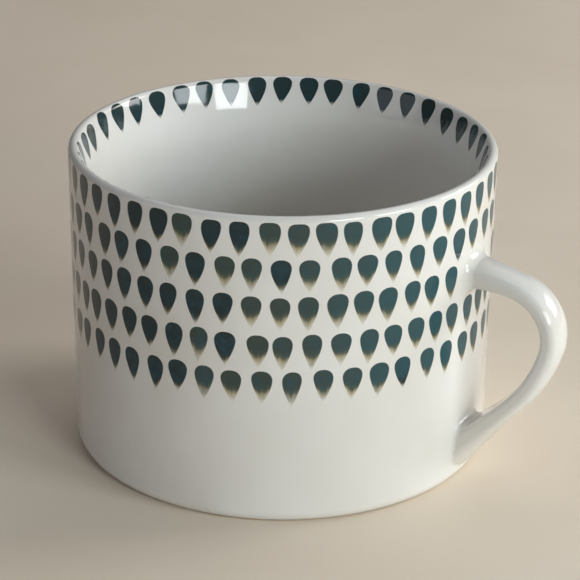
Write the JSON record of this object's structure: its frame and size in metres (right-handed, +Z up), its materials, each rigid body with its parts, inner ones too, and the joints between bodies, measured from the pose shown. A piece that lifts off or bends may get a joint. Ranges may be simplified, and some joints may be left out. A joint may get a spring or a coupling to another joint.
{
  "type": "mug",
  "caption": "Low, wide stoneware mug with near-upright wall, rounded lip, shallow foot ring and an ear-shaped strap handle luted on at both ends.",
  "frame": {"origin": "on the cup's axis, in the plane the foot ring stands on", "axes": "+Z up along the cup's axis, +X from the axis through the middle of the handle, +Y to the left of the handle seen from the cup; the XZ plane is the mirror plane"},
  "size_m": [0.1289, 0.105, 0.078],
  "materials": {
    "glazed_cup": "glossy warm off-white glaze; foot ring unglazed",
    "glazed_handle": "glossy warm off-white glaze",
    "glazed_joint": "glossy warm off-white glaze"
  },
  "bodies": {
    "root": {"mug_body": "glazed_cup", "handle": "glazed_handle", "upper_slip_joint": "glazed_joint", "lower_slip_joint": "glazed_joint"}
  },
  "joints": []
}
